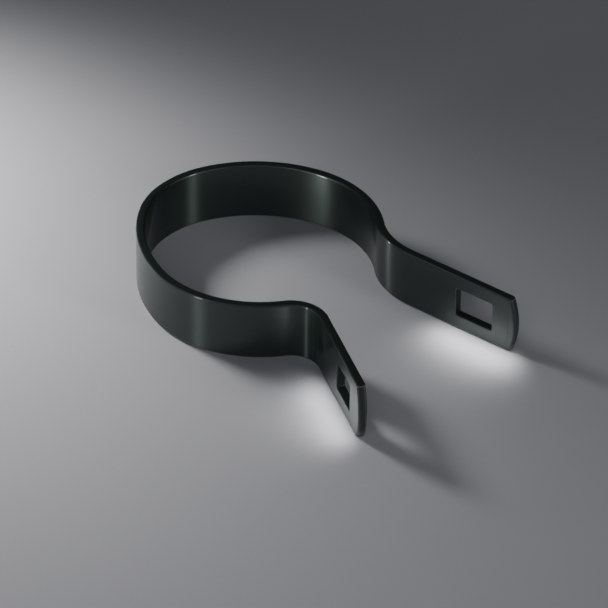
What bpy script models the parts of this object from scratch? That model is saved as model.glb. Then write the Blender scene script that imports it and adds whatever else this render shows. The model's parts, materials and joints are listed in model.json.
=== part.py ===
"""Hose clamp: an open ring of flat steel strip with two straight bolting ears.

Metres, +Z up. X runs from the back of the ring out between the ears, Z is the
strip's width, and the strip stands on its lower edge. The one formed strip is
modelled as two halves that meet at the back of the ring, because the vertical
line there stands for the place where the ring flexes as the ears are drawn in.
Left and right are as seen from the back of the ring, looking out along +X.
"""

from math import cos, radians, sin

import bmesh
import bpy
from mathutils import Matrix, Vector

MM = 0.001

# Strip stock
STRIP_WIDTH = 22.2 * MM
STRIP_THICKNESS = 3.2 * MM
EDGE_ROUND = 1.0 * MM
EDGE_SEGMENTS = 2

# Flex line at the back of the ring, on the strip's inner face
FLEX_X = -64.29 * MM
FLEX_Y = -1.19 * MM
FLEX_GAP = 0.3 * MM
FLEX_GAP_OUTSIDE = 0.9 * MM
FLEX_LAND = 0.65 * MM

# Bends from the back of the ring to each ear: (turn in degrees, mid-line radius).
# A positive turn curls the ring shut, and the last one throws the ear outwards.
LEFT_BENDS = ((20.0, 31.8 * MM), (51.9, 49.2 * MM), (55.0, 38.0 * MM), (-45.2, 27.1 * MM))
RIGHT_BENDS = (
    (36.0, 31.8 * MM),
    (41.9, 53.3 * MM),
    (29.1, 36.9 * MM),
    (41.0, 41.3 * MM),
    (-84.0, 11.8 * MM),
)
FACET = 4.0

# Ears: straight length to the end's corners, and how far the curved end bows out
LEFT_EAR = 43.8 * MM
RIGHT_EAR = 40.0 * MM
EAR_BOW = 2.3 * MM
END_FACETS = 10

# Rectangular bolt hole through each ear: (length along the ear, height)
HOLE_FROM_END = 7.5 * MM
LEFT_HOLE = (15.2 * MM, 11.0 * MM)
RIGHT_HOLE = (13.9 * MM, 10.4 * MM)
HOLE_CORNER = 0.6 * MM
HOLE_EDGE_ROUND = 0.4 * MM

BLACK_COAT = (0.012, 0.015, 0.013, 1.0)


def clear_scene():
    for obj in list(bpy.data.objects):
        bpy.data.objects.remove(obj, do_unlink=True)


def new_collection(name):
    group = bpy.data.collections.new(name)
    bpy.context.scene.collection.children.link(group)
    return group


def coat_material(name):
    """Gloss black coating over steel."""
    mat = bpy.data.materials.new(name)
    mat.use_nodes = True
    shader = mat.node_tree.nodes["Principled BSDF"]
    shader.inputs["Base Color"].default_value = BLACK_COAT
    shader.inputs["Roughness"].default_value = 0.16
    shader.inputs["Metallic"].default_value = 0.0
    mat.diffuse_color = BLACK_COAT
    return mat


def mid_line(bends, ear_length, side):
    """Mid-line of one half, from the flex line to past the ear's end.

    Returns the points, where the straight ear starts and the ear's heading.
    """
    spot = Vector((-STRIP_THICKNESS / 2, 0.0))
    heading = radians(90.0)
    points = [spot.copy()]
    spot = spot + Vector((0.0, FLEX_LAND))
    points.append(spot.copy())
    for turn, radius in bends:
        steps = max(2, round(abs(turn) / FACET))
        step = radians(turn) / steps
        chord = 2 * radius * sin(abs(step) / 2)
        for _ in range(steps):
            aim = heading - step / 2
            spot = spot + chord * Vector((cos(aim), sin(aim)))
            heading -= step
            points.append(spot.copy())
    ear_start = spot.copy()
    along = Vector((cos(heading), sin(heading)))
    points.append(spot + along * (ear_length + 2 * EAR_BOW))
    if side < 0:
        points = [Vector((p.x, -p.y)) for p in points]
        ear_start.y = -ear_start.y
        heading = -heading
    return points, ear_start, heading


def mesh_from_curve(curve, name):
    """Evaluate a curve to a mesh and weld its caps to its sides."""
    holder = bpy.data.objects.new(name + "_curve", curve)
    bpy.context.scene.collection.objects.link(holder)
    depsgraph = bpy.context.evaluated_depsgraph_get()
    mesh = bpy.data.meshes.new_from_object(holder.evaluated_get(depsgraph))
    bpy.data.objects.remove(holder, do_unlink=True)
    shape = bmesh.new()
    shape.from_mesh(mesh)
    bmesh.ops.remove_doubles(shape, verts=shape.verts, dist=0.000001)
    shape.to_mesh(mesh)
    shape.free()
    mesh.name = name
    return mesh


def ribbon_mesh(points, name):
    """Zero-thickness ribbon, the strip's width tall, standing on z = 0."""
    curve = bpy.data.curves.new(name, "CURVE")
    curve.dimensions = "2D"
    curve.fill_mode = "NONE"
    curve.extrude = STRIP_WIDTH / 2
    spline = curve.splines.new("POLY")
    spline.points.add(len(points) - 1)
    for knot, point in zip(spline.points, points):
        knot.co = (point.x, point.y, 0.0, 1.0)
    mesh = mesh_from_curve(curve, name)
    mesh.transform(Matrix.Translation((0.0, 0.0, STRIP_WIDTH / 2)))
    return mesh


def plate_mesh(outline, thickness, name):
    """Flat plate from a closed outline, centred on its own plane."""
    curve = bpy.data.curves.new(name, "CURVE")
    curve.dimensions = "2D"
    curve.fill_mode = "BOTH"
    curve.extrude = thickness / 2
    spline = curve.splines.new("POLY")
    spline.use_cyclic_u = True
    spline.points.add(len(outline) - 1)
    for knot, (x, y) in zip(spline.points, outline):
        knot.co = (x, y, 0.0, 1.0)
    return mesh_from_curve(curve, name)


def hole_outline(ear_length, hole):
    """Bolt hole in the ear's plane: x along the ear, y up the strip."""
    length, height = hole
    right = ear_length - HOLE_FROM_END
    left = right - length
    low = (STRIP_WIDTH - height) / 2
    high = (STRIP_WIDTH + height) / 2
    r = HOLE_CORNER
    corners = ((right - r, high - r, 0), (left + r, high - r, 90),
               (left + r, low + r, 180), (right - r, low + r, 270))
    outline = []
    for x, y, start in corners:
        for turn in (0, 45, 90):
            angle = radians(start + turn)
            outline.append((x + r * cos(angle), y + r * sin(angle)))
    return outline


def end_outline(ear_length):
    """Everything beyond the ear's bowed end, in the ear's plane."""
    half = STRIP_WIDTH / 2
    radius = (half * half + EAR_BOW * EAR_BOW) / (2 * EAR_BOW)
    centre = ear_length + EAR_BOW - radius
    reach = half + 1.5 * MM
    outline = []
    for i in range(END_FACETS + 1):
        y = -reach + 2 * reach * i / END_FACETS
        outline.append((centre + (radius * radius - y * y) ** 0.5, half + y))
    outline.append((ear_length + 4 * EAR_BOW, half + reach))
    outline.append((ear_length + 4 * EAR_BOW, half - reach))
    return outline


def flex_outline():
    """Wedge at the flex line, seen from above, that opens towards the outside."""
    inner = 1.0 * MM
    outer = -STRIP_THICKNESS - 1.0 * MM
    flare = (FLEX_GAP_OUTSIDE - FLEX_GAP) / STRIP_THICKNESS
    half_in = (FLEX_GAP - flare * inner) / 2
    half_out = (FLEX_GAP - flare * outer) / 2
    return [(inner, -half_in), (inner, half_in), (outer, half_out), (outer, -half_out)]


def flex_cutter(cutters):
    """Upright wedge through the whole strip at the flex line."""
    cutter = bpy.data.objects.new("flex_cut", plate_mesh(flex_outline(), 30 * MM, "flex_cut"))
    cutter.location = (FLEX_X, FLEX_Y, STRIP_WIDTH / 2)
    cutter.hide_render = True
    cutter.display_type = "WIRE"
    cutters.objects.link(cutter)
    return cutter


def ear_cutter(outline, ear_start, heading, name, cutters):
    """Stand a flat cutter in the ear's plane, thick enough to pass through it."""
    cutter = bpy.data.objects.new(name, plate_mesh(outline, 12 * MM, name))
    upright = Matrix.Rotation(radians(90.0), 4, "X")
    swing = Matrix.Rotation(heading, 4, "Z")
    cutter.matrix_world = (
        Matrix.Translation((FLEX_X + ear_start.x, FLEX_Y + ear_start.y, 0.0)) @ swing @ upright
    )
    cutter.hide_render = True
    cutter.display_type = "WIRE"
    cutters.objects.link(cutter)
    return cutter


def apply_modifier(obj):
    """Keep the evaluated shape as the object's own mesh."""
    depsgraph = bpy.context.evaluated_depsgraph_get()
    mesh = bpy.data.meshes.new_from_object(obj.evaluated_get(depsgraph))
    obj.modifiers.clear()
    obj.data = mesh
    mesh.name = obj.name


def cut_with(obj, cutter):
    cut = obj.modifiers.new("cut_" + cutter.name, "BOOLEAN")
    cut.operation = "DIFFERENCE"
    cut.solver = "EXACT"
    cut.object = cutter
    apply_modifier(obj)


def weight_edges(obj, ear_start, heading, ear_length, hole_length):
    """Mark the sharp edges: full rounding on the strip, less around the hole."""
    along = Vector((cos(heading), sin(heading)))
    near_end = ear_length - HOLE_FROM_END + 0.2 * MM
    far_end = ear_length - HOLE_FROM_END - hole_length - 0.2 * MM
    shape = bmesh.new()
    shape.from_mesh(obj.data)
    bmesh.ops.remove_doubles(shape, verts=shape.verts, dist=0.000001)
    layer = shape.edges.layers.float.new("bevel_weight_edge")
    for edge in shape.edges:
        middle = (edge.verts[0].co + edge.verts[1].co) / 2
        if edge.calc_face_angle(0.0) < radians(40.0):
            continue
        if abs(middle.y) < FLEX_GAP_OUTSIDE:
            continue
        reach = (middle.xy - ear_start).dot(along)
        in_hole = far_end < reach < near_end
        in_hole = in_hole and 3 * MM < middle.z < STRIP_WIDTH - 3 * MM
        edge[layer] = HOLE_EDGE_ROUND / EDGE_ROUND if in_hole else 1.0
    shape.to_mesh(obj.data)
    shape.free()


def round_edges(obj):
    bevel = obj.modifiers.new("edge_round", "BEVEL")
    bevel.width = EDGE_ROUND
    bevel.segments = EDGE_SEGMENTS
    bevel.limit_method = "WEIGHT"
    bevel.use_clamp_overlap = False
    apply_modifier(obj)


def shade_smooth(obj):
    obj.data.polygons.foreach_set("use_smooth", [True] * len(obj.data.polygons))
    obj.data.set_sharp_from_angle(angle=radians(30.0))


def half_strap(name, bends, ear_length, hole, side, mat, flex, parts, cutters):
    """One half of the strip, from the flex line round to its ear."""
    points, ear_start, heading = mid_line(bends, ear_length, side)
    strap = bpy.data.objects.new(name, ribbon_mesh(points, name))
    parts.objects.link(strap)
    strap.location = (FLEX_X, FLEX_Y, 0.0)
    skin = strap.modifiers.new("strip_thickness", "SOLIDIFY")
    skin.thickness = STRIP_THICKNESS
    skin.offset = 0.0
    skin.use_even_offset = True
    apply_modifier(strap)
    bpy.context.view_layer.update()
    end = ear_cutter(end_outline(ear_length), ear_start, heading, name + "_end_cut", cutters)
    cut_with(strap, end)
    cut_with(strap, flex)
    punch = ear_cutter(hole_outline(ear_length, hole), ear_start, heading,
                       name + "_hole_cut", cutters)
    cut_with(strap, punch)
    weight_edges(strap, ear_start, heading, ear_length, hole[0])
    round_edges(strap)
    shade_smooth(strap)
    strap.data.materials.clear()
    strap.data.materials.append(mat)
    return strap


def build():
    clear_scene()
    parts = new_collection("hose_clamp")
    cutters = new_collection("cutters")
    flex = flex_cutter(cutters)
    half_strap("left_half_strap", LEFT_BENDS, LEFT_EAR, LEFT_HOLE, 1,
               coat_material("left_coat"), flex, parts, cutters)
    half_strap("right_half_strap", RIGHT_BENDS, RIGHT_EAR, RIGHT_HOLE, -1,
               coat_material("right_coat"), flex, parts, cutters)


build()
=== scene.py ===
"""Looks of the hose clamp: one formed steel strip with a gloss black coat.

The strip is one continuous mesh that takes the place of the model's two half
straps, and it runs unbroken across the flex line at the back of the ring.
"""

import json
from math import cos, radians, sin

import bmesh
import bpy
import numpy as np
from mathutils import Matrix, Vector


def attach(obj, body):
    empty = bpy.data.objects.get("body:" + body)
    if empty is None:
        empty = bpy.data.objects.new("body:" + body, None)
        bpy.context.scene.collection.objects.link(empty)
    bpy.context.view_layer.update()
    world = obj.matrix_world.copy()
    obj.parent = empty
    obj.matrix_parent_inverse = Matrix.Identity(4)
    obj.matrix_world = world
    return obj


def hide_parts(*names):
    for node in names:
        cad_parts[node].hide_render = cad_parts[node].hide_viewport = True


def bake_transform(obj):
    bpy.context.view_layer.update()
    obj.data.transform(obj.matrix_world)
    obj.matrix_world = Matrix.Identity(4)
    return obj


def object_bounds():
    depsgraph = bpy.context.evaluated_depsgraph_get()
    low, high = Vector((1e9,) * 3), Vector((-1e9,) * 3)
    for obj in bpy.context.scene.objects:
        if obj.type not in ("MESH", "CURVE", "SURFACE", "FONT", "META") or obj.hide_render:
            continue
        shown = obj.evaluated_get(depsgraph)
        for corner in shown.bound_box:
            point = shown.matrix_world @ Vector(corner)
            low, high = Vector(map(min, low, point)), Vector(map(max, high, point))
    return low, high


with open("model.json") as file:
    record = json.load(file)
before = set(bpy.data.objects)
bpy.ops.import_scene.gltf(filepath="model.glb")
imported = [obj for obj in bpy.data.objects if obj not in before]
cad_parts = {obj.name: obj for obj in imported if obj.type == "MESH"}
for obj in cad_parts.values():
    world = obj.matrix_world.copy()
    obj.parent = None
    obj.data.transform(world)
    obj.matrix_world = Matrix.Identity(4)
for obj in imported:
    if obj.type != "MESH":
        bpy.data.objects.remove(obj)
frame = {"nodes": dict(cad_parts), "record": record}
CAD_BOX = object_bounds()

MM = 0.001

# Strip stock, bends and ears: the same design as the model's
STRIP_WIDTH = 22.2 * MM
STRIP_THICKNESS = 3.2 * MM
EDGE_ROUND = 1.0 * MM
EDGE_SEGMENTS = 4
FLEX_LAND = 0.65 * MM
LEFT_BENDS = ((20.0, 31.8 * MM), (51.9, 49.2 * MM), (55.0, 38.0 * MM), (-45.2, 27.1 * MM))
RIGHT_BENDS = (
    (36.0, 31.8 * MM),
    (41.9, 53.3 * MM),
    (29.1, 36.9 * MM),
    (41.0, 41.3 * MM),
    (-84.0, 11.8 * MM),
)
LEFT_EAR = 43.8 * MM
RIGHT_EAR = 40.0 * MM
EAR_BOW = 2.3 * MM
END_FACETS = 28
HOLE_FROM_END = 7.5 * MM
LEFT_HOLE = (15.2 * MM, 11.0 * MM)
RIGHT_HOLE = (13.9 * MM, 10.4 * MM)
HOLE_CORNER = 0.6 * MM
HOLE_EDGE_ROUND = 0.4 * MM
HOLE_CORNER_STEPS = 5
HOLE_EDGE_STEPS = 5
# The punch's flare ends just proud of the face, so that the cut has no coincident faces
HOLE_EDGE_PROUD = 0.01 * MM
PUNCH_OVERRUN = 2 * MM
END_CUTTER_THICKNESS = 12 * MM
END_CUTTER_MARGIN = 1.5 * MM
FACET = 1.0
UV_STEP = 0.2 * MM
UV_BATCH = 500

# The finer facets bulge a hair past the model's coarser ones: drawn in by as much
TRIM = 0.9996

FLEX = Vector(frame["record"]["behaviour"]["joints"][0]["pos_m"])


# ---------------------------------------------------------------- strap shape

def half_line(bends, ear_length):
    """Mid-line of one half, curling towards +X from the flex line, heading +Y."""
    spot = Vector((-STRIP_THICKNESS / 2, 0.0))
    heading = radians(90.0)
    points = [spot.copy()]
    spot = spot + Vector((0.0, FLEX_LAND))
    points.append(spot.copy())
    for turn, radius in bends:
        steps = max(2, round(abs(turn) / FACET))
        step = radians(turn) / steps
        chord = 2 * radius * sin(abs(step) / 2)
        for _ in range(steps):
            aim = heading - step / 2
            spot = spot + chord * Vector((cos(aim), sin(aim)))
            heading -= step
            points.append(spot.copy())
    ear_start = spot.copy()
    along = Vector((cos(heading), sin(heading)))
    points.append(spot + along * (ear_length + 2 * EAR_BOW))
    return points, ear_start, heading


def whole_line():
    """Mid-line from the right ear's end, round the ring, to the left ear's end."""
    left, left_start, left_heading = half_line(LEFT_BENDS, LEFT_EAR)
    right, right_start, right_heading = half_line(RIGHT_BENDS, RIGHT_EAR)
    right = [Vector((p.x, -p.y)) for p in right]
    right_start.y = -right_start.y
    points = right[:0:-1] + left[1:]
    ears = ((left_start, left_heading, LEFT_EAR, LEFT_HOLE),
            (right_start, -right_heading, RIGHT_EAR, RIGHT_HOLE))
    return points, ears


def mesh_from_curve(curve, name):
    holder = bpy.data.objects.new(name + "_curve", curve)
    bpy.context.scene.collection.objects.link(holder)
    depsgraph = bpy.context.evaluated_depsgraph_get()
    mesh = bpy.data.meshes.new_from_object(holder.evaluated_get(depsgraph))
    bpy.data.objects.remove(holder, do_unlink=True)
    bpy.data.curves.remove(curve)
    shape = bmesh.new()
    shape.from_mesh(mesh)
    bmesh.ops.remove_doubles(shape, verts=shape.verts, dist=0.000001)
    shape.to_mesh(mesh)
    shape.free()
    return mesh


def ribbon_mesh(points, name):
    curve = bpy.data.curves.new(name, "CURVE")
    curve.dimensions = "2D"
    curve.fill_mode = "NONE"
    curve.extrude = STRIP_WIDTH / 2
    spline = curve.splines.new("POLY")
    spline.points.add(len(points) - 1)
    for knot, point in zip(spline.points, points):
        knot.co = (point.x, point.y, 0.0, 1.0)
    mesh = mesh_from_curve(curve, name)
    mesh.transform(Matrix.Translation((0.0, 0.0, STRIP_WIDTH / 2)))
    return mesh


def plate_mesh(outline, thickness, name):
    curve = bpy.data.curves.new(name, "CURVE")
    curve.dimensions = "2D"
    curve.fill_mode = "BOTH"
    curve.extrude = thickness / 2
    spline = curve.splines.new("POLY")
    spline.use_cyclic_u = True
    spline.points.add(len(outline) - 1)
    for knot, (x, y) in zip(spline.points, outline):
        knot.co = (x, y, 0.0, 1.0)
    return mesh_from_curve(curve, name)


def hole_ring(ear_length, hole, grow):
    """Outline of the bolt hole in the ear's plane, grown outwards all round."""
    length, height = hole
    right = ear_length - HOLE_FROM_END
    left = right - length
    low = (STRIP_WIDTH - height) / 2
    high = (STRIP_WIDTH + height) / 2
    r = HOLE_CORNER
    corners = ((right - r, high - r, 0), (left + r, high - r, 90),
               (left + r, low + r, 180), (right - r, low + r, 270))
    ring = []
    for x, y, start in corners:
        for i in range(HOLE_CORNER_STEPS + 1):
            angle = radians(start + 90 * i / HOLE_CORNER_STEPS)
            ring.append((x + (r + grow) * cos(angle), y + (r + grow) * sin(angle)))
    return ring


def hole_mesh(ear_length, hole):
    """Punch for the bolt hole, flared at both faces so that the hole's edges come out rounded."""
    levels = []
    round_start = STRIP_THICKNESS / 2 - HOLE_EDGE_ROUND + HOLE_EDGE_PROUD
    for i in range(HOLE_EDGE_STEPS + 1):
        angle = radians(90.0 * i / HOLE_EDGE_STEPS)
        levels.append((round_start + HOLE_EDGE_ROUND * sin(angle),
                       HOLE_EDGE_ROUND * (1 - cos(angle))))
    levels.append((STRIP_THICKNESS / 2 + PUNCH_OVERRUN, HOLE_EDGE_ROUND))
    levels = [(-depth, grow) for depth, grow in reversed(levels)] + levels
    shape = bmesh.new()
    loops = []
    for depth, grow in levels:
        ring = hole_ring(ear_length, hole, grow)
        loops.append([shape.verts.new((x, y, depth)) for x, y in ring])
    for lower, upper in zip(loops, loops[1:]):
        for i in range(len(lower)):
            j = (i + 1) % len(lower)
            shape.faces.new((lower[i], lower[j], upper[j], upper[i]))
    shape.faces.new(loops[0][::-1])
    shape.faces.new(loops[-1])
    bmesh.ops.recalc_face_normals(shape, faces=shape.faces)
    mesh = bpy.data.meshes.new("punch")
    shape.to_mesh(mesh)
    shape.free()
    return mesh


def end_outline(ear_length):
    half = STRIP_WIDTH / 2
    radius = (half * half + EAR_BOW * EAR_BOW) / (2 * EAR_BOW)
    centre = ear_length + EAR_BOW - radius
    reach = half + END_CUTTER_MARGIN
    outline = []
    for i in range(END_FACETS + 1):
        y = -reach + 2 * reach * i / END_FACETS
        outline.append((centre + (radius * radius - y * y) ** 0.5, half + y))
    outline.append((ear_length + 4 * EAR_BOW, half + reach))
    outline.append((ear_length + 4 * EAR_BOW, half - reach))
    return outline


def apply_modifiers(obj):
    depsgraph = bpy.context.evaluated_depsgraph_get()
    mesh = bpy.data.meshes.new_from_object(obj.evaluated_get(depsgraph))
    obj.modifiers.clear()
    old = obj.data
    obj.data = mesh
    mesh.name = obj.name
    bpy.data.meshes.remove(old)


def cut(obj, mesh, ear_start, heading):
    """Cut a shape that is drawn in the ear's plane out of the strap."""
    cutter = bpy.data.objects.new("cutter", mesh)
    bpy.context.scene.collection.objects.link(cutter)
    upright = Matrix.Rotation(radians(90.0), 4, "X")
    swing = Matrix.Rotation(heading, 4, "Z")
    place = Matrix.Translation((ear_start.x, ear_start.y, 0.0))
    cutter.matrix_world = place @ swing @ upright
    bpy.context.view_layer.update()
    boolean = obj.modifiers.new("cut", "BOOLEAN")
    boolean.operation = "DIFFERENCE"
    boolean.solver = "EXACT"
    boolean.object = cutter
    apply_modifiers(obj)
    bpy.data.objects.remove(cutter, do_unlink=True)


def lay_uv(mesh, points):
    """u runs along the strip and v up it, both in metres, so the finish follows the bends."""
    line = np.array([(p.x, p.y) for p in points])
    steps = np.linalg.norm(np.diff(line, axis=0), axis=1)
    runs = np.concatenate(([0.0], np.cumsum(steps)))
    places = np.arange(0.0, runs[-1], UV_STEP)
    dense = np.stack([np.interp(places, runs, line[:, 0]), np.interp(places, runs, line[:, 1])], 1)
    co = np.array([v.co for v in mesh.vertices])
    along = np.empty(len(co))
    for i in range(0, len(co), UV_BATCH):
        gaps = ((co[i:i + UV_BATCH, None, :2] - dense[None]) ** 2).sum(2)
        along[i:i + UV_BATCH] = places[gaps.argmin(1)]
    layer = mesh.uv_layers.new(name="strip")
    for loop in mesh.loops:
        layer.data[loop.index].uv = (along[loop.vertex_index], co[loop.vertex_index][2])


def make_strap():
    points, ears = whole_line()
    strap = bpy.data.objects.new("strap", ribbon_mesh(points, "strap"))
    bpy.context.scene.collection.objects.link(strap)
    skin = strap.modifiers.new("thickness", "SOLIDIFY")
    skin.thickness = STRIP_THICKNESS
    skin.offset = 0.0
    skin.use_even_offset = True
    apply_modifiers(strap)
    for ear_start, heading, ear_length, _ in ears:
        ear_end = plate_mesh(end_outline(ear_length), END_CUTTER_THICKNESS, "ear_end")
        cut(strap, ear_end, ear_start, heading)
    bevel = strap.modifiers.new("edge_round", "BEVEL")
    bevel.width = EDGE_ROUND
    bevel.segments = EDGE_SEGMENTS
    bevel.limit_method = "ANGLE"
    bevel.angle_limit = radians(40.0)
    bevel.use_clamp_overlap = False
    apply_modifiers(strap)
    for ear_start, heading, ear_length, hole in ears:
        cut(strap, hole_mesh(ear_length, hole), ear_start, heading)
    strap.data.polygons.foreach_set("use_smooth", [True] * len(strap.data.polygons))
    even = strap.modifiers.new("face_normals", "WEIGHTED_NORMAL")
    even.weight = 80
    even.keep_sharp = False
    apply_modifiers(strap)
    lay_uv(strap.data, points)
    strap.data.transform(Matrix.Translation((FLEX.x, FLEX.y, 0.0)))
    strap.data.transform(Matrix.Diagonal((TRIM, TRIM, 1.0, 1.0)))
    return strap


# ------------------------------------------------------------------ materials

def node(tree, kind, **values):
    made = tree.nodes.new(kind)
    for key, value in values.items():
        if hasattr(made, key):
            setattr(made, key, value)
        else:
            made.inputs[key.replace("_", " ")].default_value = value
    return made


def coat_material():
    """Gloss black coat over rolled steel: a clear smooth skin over a faint lengthwise grain."""
    mat = bpy.data.materials.new("gloss_black_coat")
    mat.use_nodes = True
    tree = mat.node_tree
    link = tree.links.new
    shader = tree.nodes["Principled BSDF"]

    uv = node(tree, "ShaderNodeUVMap", uv_map="strip")

    # Colour: black with a breath of green, a little uneven
    patches = node(tree, "ShaderNodeTexNoise", Scale=70.0, Detail=3.0, Roughness=0.55)
    link(uv.outputs[0], patches.inputs["Vector"])
    tint = node(tree, "ShaderNodeMix", data_type="RGBA")
    tint.inputs["A"].default_value = (0.0095, 0.0145, 0.0125, 1.0)
    tint.inputs["B"].default_value = (0.0135, 0.0190, 0.0165, 1.0)
    link(patches.outputs[0], tint.inputs["Factor"])

    # Lower edge rounds, the ones whose normals face down: a thin paler line, a painted highlight
    # standing in for light caught along the bottom edges
    geometry = node(tree, "ShaderNodeNewGeometry")
    split = node(tree, "ShaderNodeSeparateXYZ")
    link(geometry.outputs["Normal"], split.inputs[0])
    painted_highlight_mask = node(tree, "ShaderNodeMapRange")
    painted_highlight_mask.inputs["From Min"].default_value = -0.25
    painted_highlight_mask.inputs["From Max"].default_value = -0.55
    link(split.outputs["Z"], painted_highlight_mask.inputs["Value"])
    lower_edge_highlight = node(tree, "ShaderNodeMix", data_type="RGBA")
    # pale grey of the painted highlight on the downward-facing edge rounds
    lower_edge_highlight.inputs["B"].default_value = (0.30, 0.315, 0.31, 1.0)
    link(painted_highlight_mask.outputs[0], lower_edge_highlight.inputs["Factor"])
    link(tint.outputs["Result"], lower_edge_highlight.inputs["A"])
    link(lower_edge_highlight.outputs["Result"], shader.inputs["Base Color"])

    # Rolling grain under the coat, drawn out along the strip
    stretch = node(tree, "ShaderNodeMapping")
    stretch.inputs["Scale"].default_value = (60.0, 5200.0, 1.0)
    link(uv.outputs[0], stretch.inputs["Vector"])
    grain = node(tree, "ShaderNodeTexNoise", Scale=1.0, Detail=3.0, Roughness=0.6)
    link(stretch.outputs[0], grain.inputs["Vector"])
    grain_bump = node(tree, "ShaderNodeBump", Strength=0.10, Distance=0.00002)
    link(grain.outputs[0], grain_bump.inputs["Height"])
    link(grain_bump.outputs[0], shader.inputs["Normal"])

    # The grain spreads highlights up and down the walls, and not on the strip's edges
    lean = node(tree, "ShaderNodeMath", operation="ABSOLUTE")
    link(split.outputs["Z"], lean.inputs[0])
    spread = node(tree, "ShaderNodeMapRange")
    spread.inputs["From Min"].default_value = 0.15
    spread.inputs["From Max"].default_value = 0.75
    spread.inputs["To Min"].default_value = 1.0
    spread.inputs["To Max"].default_value = 0.0
    link(lean.outputs[0], spread.inputs["Value"])
    link(spread.outputs[0], shader.inputs["Anisotropic"])
    upward = node(tree, "ShaderNodeCombineXYZ", X=0.0, Y=0.0, Z=1.0)
    link(upward.outputs[0], shader.inputs["Tangent"])
    shader.inputs["Roughness"].default_value = 0.42
    shader.inputs["IOR"].default_value = 1.5
    shader.inputs["Specular IOR Level"].default_value = 0.7
    shader.inputs["Specular Tint"].default_value = (0.80, 1.0, 0.92, 1.0)

    # The coat itself: smooth, with a very soft orange peel and faint handling haze
    peel = node(tree, "ShaderNodeTexNoise", Scale=900.0, Detail=2.0, Roughness=0.5)
    link(uv.outputs[0], peel.inputs["Vector"])
    sag = node(tree, "ShaderNodeTexNoise", Scale=110.0, Detail=1.0, Roughness=0.5)
    link(uv.outputs[0], sag.inputs["Vector"])
    peel_bump = node(tree, "ShaderNodeBump", Strength=0.05, Distance=0.00003)
    link(peel.outputs[0], peel_bump.inputs["Height"])
    sag_bump = node(tree, "ShaderNodeBump", Strength=0.10, Distance=0.00008)
    link(sag.outputs[0], sag_bump.inputs["Height"])
    link(peel_bump.outputs[0], sag_bump.inputs["Normal"])
    link(sag_bump.outputs[0], shader.inputs["Coat Normal"])
    haze = node(tree, "ShaderNodeTexNoise", Scale=180.0, Detail=5.0, Roughness=0.65)
    link(uv.outputs[0], haze.inputs["Vector"])
    gloss = node(tree, "ShaderNodeMapRange")
    gloss.inputs["From Min"].default_value = 0.35
    gloss.inputs["From Max"].default_value = 0.75
    gloss.inputs["To Min"].default_value = 0.02
    gloss.inputs["To Max"].default_value = 0.045
    link(haze.outputs[0], gloss.inputs["Value"])
    link(gloss.outputs[0], shader.inputs["Coat Roughness"])
    shader.inputs["Coat Weight"].default_value = 0.75
    shader.inputs["Coat IOR"].default_value = 1.5
    return mat


def floor_material():
    mat = bpy.data.materials.new("pale_floor")
    mat.use_nodes = True
    tree = mat.node_tree
    link = tree.links.new
    shader = tree.nodes["Principled BSDF"]
    place = node(tree, "ShaderNodeTexCoord")
    mottle = node(tree, "ShaderNodeTexNoise", Scale=9.0, Detail=4.0, Roughness=0.5)
    link(place.outputs["Object"], mottle.inputs["Vector"])
    tone = node(tree, "ShaderNodeMix", data_type="RGBA")
    tone.inputs["A"].default_value = (0.50, 0.50, 0.530, 1.0)
    tone.inputs["B"].default_value = (0.53, 0.53, 0.560, 1.0)
    link(mottle.outputs[0], tone.inputs["Factor"])
    link(tone.outputs["Result"], shader.inputs["Base Color"])
    tooth = node(tree, "ShaderNodeTexNoise", Scale=1400.0, Detail=2.0, Roughness=0.5)
    link(place.outputs["Object"], tooth.inputs["Vector"])
    bump = node(tree, "ShaderNodeBump", Strength=0.15, Distance=0.0001)
    link(tooth.outputs[0], bump.inputs["Height"])
    link(bump.outputs[0], shader.inputs["Normal"])
    shader.inputs["Roughness"].default_value = 0.7
    shader.inputs["Specular IOR Level"].default_value = 0.25
    return mat


# ---------------------------------------------------------------------- stage

CAMERA_AZIMUTH = -44.232
CAMERA_ELEVATION = 36.245
CAMERA_DISTANCE = 1.8034
CAMERA_ROLL = 0.60
FLOOR_GAP = 0.02 * MM
AIM = Vector((-0.0027, 0.0024, 0.0))


def direction(azimuth, elevation):
    """Unit vector from the object: azimuth from +X towards +Y, in degrees."""
    a, e = radians(azimuth), radians(elevation)
    return Vector((cos(e) * cos(a), cos(e) * sin(a), sin(e)))


def make_camera():
    data = bpy.data.cameras.new("camera")
    data.sensor_width = 36.0
    data.lens = 307.9
    data.clip_start = 0.05
    data.clip_end = 20.0
    camera = bpy.data.objects.new("camera", data)
    bpy.context.scene.collection.objects.link(camera)
    back = direction(CAMERA_AZIMUTH, CAMERA_ELEVATION)
    aim = (-back).to_track_quat("-Z", "Y").to_matrix().to_4x4()
    roll = Matrix.Rotation(radians(CAMERA_ROLL), 4, "Z")
    camera.matrix_world = Matrix.Translation(AIM + back * CAMERA_DISTANCE) @ aim @ roll
    bpy.context.scene.camera = camera


def soft_box(name, azimuth, elevation, distance, width, height, power, tone=(1.0, 1.0, 1.0)):
    data = bpy.data.lights.new(name, "AREA")
    data.shape = "RECTANGLE"
    data.size = width
    data.size_y = height
    data.energy = power
    data.color = tone
    lamp = bpy.data.objects.new(name, data)
    bpy.context.scene.collection.objects.link(lamp)
    back = direction(azimuth, elevation)
    aim = (-back).to_track_quat("-Z", "Y").to_matrix().to_4x4()
    lamp.matrix_world = Matrix.Translation(back * distance) @ aim
    lamp.visible_camera = False
    return lamp


def make_floor(mat):
    shape = bmesh.new()
    bmesh.ops.create_grid(shape, x_segments=2, y_segments=2, size=3.0)
    mesh = bpy.data.meshes.new("floor")
    shape.to_mesh(mesh)
    shape.free()
    floor = bpy.data.objects.new("floor", mesh)
    bpy.context.scene.collection.objects.link(floor)
    floor.location = (0.0, 0.0, CAD_BOX[0][2] - FLOOR_GAP)
    mesh.materials.append(mat)


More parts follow.
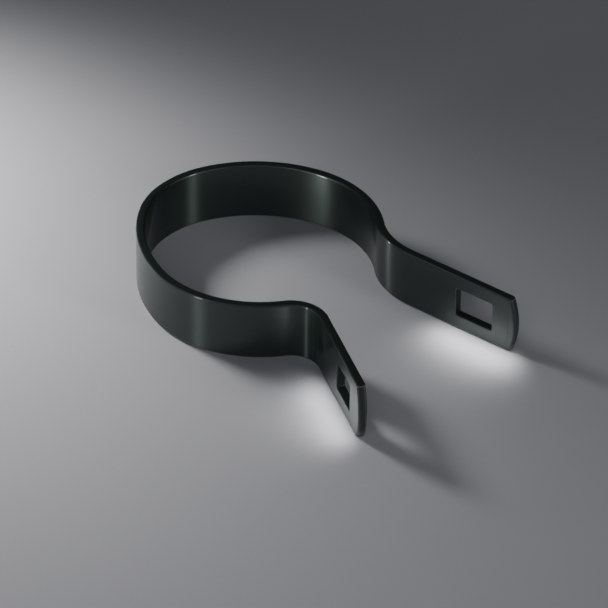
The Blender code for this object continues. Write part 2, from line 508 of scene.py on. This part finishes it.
def make_world():
    """A dim studio: dark at the horizon, a little lighter overhead."""
    world = bpy.data.worlds.new("studio")
    world.use_nodes = True
    tree = world.node_tree
    background = tree.nodes["Background"]
    background.inputs["Color"].default_value = (0.89, 0.95, 1.0, 1.0)
    place = node(tree, "ShaderNodeTexCoord")
    split = node(tree, "ShaderNodeSeparateXYZ")
    tree.links.new(place.outputs["Generated"], split.inputs[0])
    rise = node(tree, "ShaderNodeMapRange")
    rise.inputs["From Min"].default_value = 0.0
    rise.inputs["From Max"].default_value = 1.0
    rise.inputs["To Min"].default_value = 0.012
    rise.inputs["To Max"].default_value = 0.050
    tree.links.new(split.outputs["Z"], rise.inputs["Value"])
    tree.links.new(rise.outputs[0], background.inputs["Strength"])
    bpy.context.scene.world = world


def make_key():
    """One soft spot close by on the left: the floor is brightest there and fades across."""
    data = bpy.data.lights.new("key", "SPOT")
    data.energy = 5.5
    data.color = (1.0, 0.995, 0.985)
    data.shadow_soft_size = 0.04
    data.spot_size = radians(120.0)
    data.spot_blend = 1.0
    lamp = bpy.data.objects.new("key", data)
    bpy.context.scene.collection.objects.link(lamp)
    place = direction(194.0, 31.0) * 0.328
    towards = Vector((-0.148, -0.148, 0.0)) - place
    aim = towards.to_track_quat("-Z", "Y").to_matrix().to_4x4()
    lamp.matrix_world = Matrix.Translation(place) @ aim
    lamp.visible_glossy = False
    lamp.visible_camera = False


def glow(name, body, spot, outward, length, dip, spread, power):
    """Light that an ear's glossy face throws onto the floor: a strip that moves with the ear."""
    data = bpy.data.lights.new(name, "AREA")
    data.shape = "RECTANGLE"
    data.size = length
    data.size_y = 0.004
    data.spread = radians(spread)
    data.energy = power
    lamp = bpy.data.objects.new(name, data)
    bpy.context.scene.collection.objects.link(lamp)
    aim = direction(outward, -dip).to_track_quat("-Z", "Y").to_matrix().to_4x4()
    lamp.matrix_world = Matrix.Translation(Vector(spot)) @ aim
    lamp.visible_glossy = False
    lamp.visible_camera = False
    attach(lamp, body)


def inner_strip():
    """A narrow strip low inside the ring: it draws one thin streak on the far inner wall."""
    lamp = soft_box("inner_strip", 0.0, 0.0, 1.0, 0.005, 0.030, 0.006)
    target = Vector((-0.005, 0.040, 0.011))
    swing = radians(-123.0)
    place = target + Vector((cos(swing), sin(swing), 0.15)) * 0.06
    aim = (target - place).to_track_quat("-Z", "Y").to_matrix().to_4x4()
    lamp.matrix_world = Matrix.Translation(place) @ aim
    lamp.visible_diffuse = False


def make_stage():
    make_floor(floor_material())
    make_world()
    make_key()
    soft_box("low_strip", -97.0, 5.0, 1.3, 0.17, 0.16, 2.2)
    soft_box("mouth_strip", 13.0, 20.0, 1.3, 0.20, 0.4, 3.4)
    inner_strip()
    for azimuth in (-104.0, -44.0, 16.0):
        front = soft_box("front", azimuth, 32.0, 1.3, 1.35, 0.4, 1.0)
        front.visible_diffuse = False
    fill = soft_box("fill", -44.0, 38.0, 1.3, 0.9, 0.7, 1.8, tone=(0.93, 0.97, 1.0))
    fill.visible_glossy = False
    glow("near_glow", "right_side", (0.0497, -0.0327, 0.0100), outward=-116.0,
         length=0.034, dip=58.0, spread=108.0, power=0.0027)
    glow("far_glow", "left_side", (0.0550, 0.0306, 0.0110), outward=-81.7,
         length=0.031, dip=58.0, spread=108.0, power=0.0038)
    make_camera()


strap = make_strap()
strap.data.materials.clear()
coat = coat_material()
strap.data.materials.append(coat)
for name in frame["nodes"]:
    half = bpy.data.objects.get(name)
    if half is not None and half.type == "MESH":
        half.data.materials.clear()
        half.data.materials.append(coat)
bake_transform(strap)
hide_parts("left_half_strap", "right_half_strap")
make_stage()
